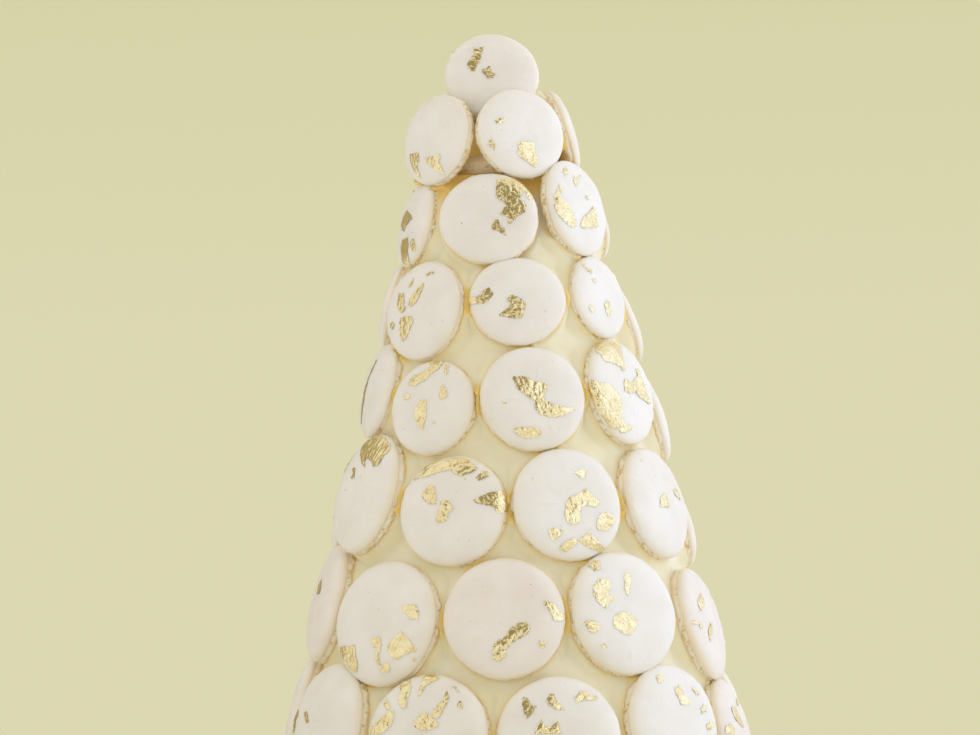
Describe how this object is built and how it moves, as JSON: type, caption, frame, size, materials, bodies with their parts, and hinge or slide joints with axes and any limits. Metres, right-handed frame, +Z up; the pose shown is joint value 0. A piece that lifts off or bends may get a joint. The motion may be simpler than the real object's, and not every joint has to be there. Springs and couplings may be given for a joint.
{
  "type": "macaron tower",
  "caption": "Cone-shaped dessert tower: single macaron shells stuck flat in rings on an iced cone that stands on a round foot plate, with one on the very top.",
  "frame": {"origin": "centre of the foot plate's underside, on the surface it stands on", "axes": "+Z up the cone's axis, -Y the side shown to the viewer, +X the viewer's right"},
  "size_m": [0.25, 0.25, 0.3442],
  "materials": {
    "icing": "satin",
    "almond_shell": "satin",
    "gold_leaf": "crinkled metal leaf"
  },
  "bodies": {
    "root": {"macaron_1_1": "almond_shell", "macaron_1_10": "almond_shell", "macaron_1_11": "almond_shell", "macaron_1_2": "almond_shell", "macaron_1_3": "almond_shell", "macaron_1_4": "almond_shell", "macaron_1_5": "almond_shell", "macaron_1_6": "almond_shell", "macaron_1_7": "almond_shell", "macaron_1_8": "almond_shell", "macaron_1_9": "almond_shell", "macaron_2_1": "almond_shell", "macaron_2_2": "almond_shell", "macaron_2_3": "almond_shell", "macaron_2_4": "almond_shell", "macaron_2_5": "almond_shell", "macaron_2_6": "almond_shell", "macaron_2_7": "almond_shell", "macaron_2_8": "almond_shell", "macaron_2_9": "almond_shell", "macaron_3_1": "almond_shell", "macaron_3_2": "almond_shell", "macaron_3_3": "almond_shell", "macaron_3_4": "almond_shell", "macaron_3_5": "almond_shell", "macaron_3_6": "almond_shell", "macaron_3_7": "almond_shell", "macaron_3_8": "almond_shell", "macaron_3_9": "almond_shell", "macaron_4_1": "almond_shell", "macaron_4_2": "almond_shell", "macaron_4_3": "almond_shell", "macaron_4_4": "almond_shell", "macaron_4_5": "almond_shell", "macaron_4_6": "almond_shell", "macaron_4_7": "almond_shell", "macaron_4_8": "almond_shell", "macaron_5_1": "almond_shell", "macaron_5_2": "almond_shell", "macaron_5_3": "almond_shell", "macaron_5_4": "almond_shell", "macaron_5_5": "almond_shell", "macaron_5_6": "almond_shell", "macaron_5_7": "almond_shell", "macaron_6_1": "almond_shell", "macaron_6_2": "almond_shell", "macaron_6_3": "almond_shell", "macaron_6_4": "almond_shell", "macaron_6_5": "almond_shell", "macaron_6_6": "almond_shell", "macaron_7_1": "almond_shell", "macaron_7_2": "almond_shell", "macaron_7_3": "almond_shell", "macaron_7_4": "almond_shell", "macaron_7_5": "almond_shell", "macaron_flat": "almond_shell", "macaron_top": "almond_shell", "stand": "icing"}
  },
  "joints": []
}
